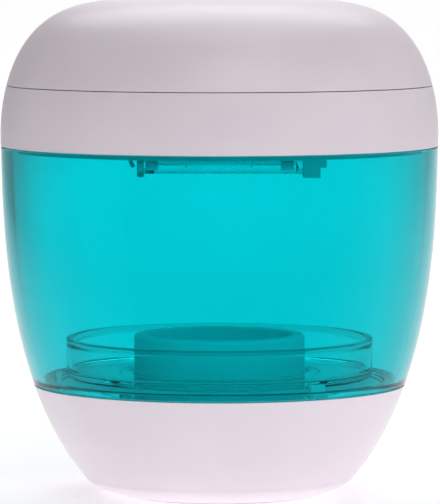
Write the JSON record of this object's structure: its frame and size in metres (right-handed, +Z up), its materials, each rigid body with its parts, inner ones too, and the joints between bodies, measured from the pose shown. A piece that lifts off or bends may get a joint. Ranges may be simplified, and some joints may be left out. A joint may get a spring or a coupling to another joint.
{
  "type": "pacifier sterilizer case",
  "caption": "Pocket-sized round case with a white base and hinged lid and a clear teal chamber; an ultraviolet lamp under the lid cleans a pacifier set on its holder.",
  "frame": {"origin": "centre of the foot's resting face, on the floor plane", "axes": "+Z up along the case's axis, -Y towards the front, the lid's hinge on the +Y side"},
  "size_m": [0.0768, 0.0811, 0.0871],
  "materials": {
    "shell": "satin white plastic with a faint lilac cast",
    "window": "clear plastic tinted teal",
    "clear": "clear untinted plastic",
    "inner": "pale grey plastic",
    "silicone": "pale grey silicone",
    "seal": "pale silicone",
    "steel": "plain steel",
    "mirror": "polished sheet",
    "quartz": "clear quartz glass",
    "dark": "dark moulding",
    "board": "green circuit board",
    "cell": "foil pouch",
    "ferrite": "dark grey ferrite",
    "red": "red insulation",
    "amber": "amber insulation"
  },
  "bodies": {
    "base": {"foot_pad": "silicone", "base_shell": "shell", "ballast_plate": "steel", "deck": "inner", "base_seal": "seal", "chamber": "window", "deck_screw_1": "steel", "deck_screw_2": "steel", "deck_screw_3": "steel", "cradle": "inner", "cradle_screw": "steel", "hinge_pin": "steel"},
    "dish": {"holder_dish": "clear"},
    "lid": {"lid_ring": "shell", "lid_dome": "shell", "lamp_tray": "inner", "lid_seal": "seal", "reflector": "mirror", "uv_lamp": "quartz", "lamp_cap": "steel", "lamp_socket": "inner", "lamp_clip_left": "steel", "lamp_clip_right": "steel", "lamp_lead_left": "silicone", "lamp_lead_right": "silicone", "tray_screw_1": "steel", "tray_screw_2": "steel", "tray_screw_3": "steel", "main_board": "board", "board_screw_left": "steel", "board_screw_right": "steel", "battery_cell": "cell", "battery_lead_red": "red", "battery_lead_black": "dark", "boost_transformer": "ferrite", "controller_chip": "dark", "usb_socket": "steel", "button_board": "board", "button_board_screw_left": "steel", "button_board_screw_right": "steel", "tact_switch": "dark", "status_led": "clear", "light_pipe": "clear", "button_cable": "amber"},
    "button": {"power_button": "silicone"},
    "plunger": {"switch_plunger": "dark"},
    "flap": {"usb_flap": "silicone"}
  },
  "joints": [
    {"name": "lid_hinge", "type": "hinge", "parent": "base", "child": "lid", "pos_m": [0, 0.04075, 0.0612], "axis": [-1, 0, 0], "range_deg": [0, 90]},
    {"name": "button_press", "type": "slide", "parent": "lid", "child": "button", "axis": [0, 0, -1], "range_m": [0, 0.0006], "stiffness_N_per_m": 1500},
    {"name": "plunger_press", "type": "slide", "parent": "lid", "child": "plunger", "axis": [0, 0, -1], "range_m": [0, 0.0006]},
    {"name": "flap_hinge", "type": "hinge", "parent": "lid", "child": "flap", "pos_m": [0.005, 0.03795, 0.06795], "axis": [0, 0, -1], "range_deg": [0, 90]},
    {"name": "dish_lift", "type": "slide", "parent": "base", "child": "dish", "axis": [0, 0, 1], "range_m": [0, 0.022]}
  ],
  "couplings": [
    {"joint": "plunger_press", "follows": "button_press", "ratio": 1}
  ]
}
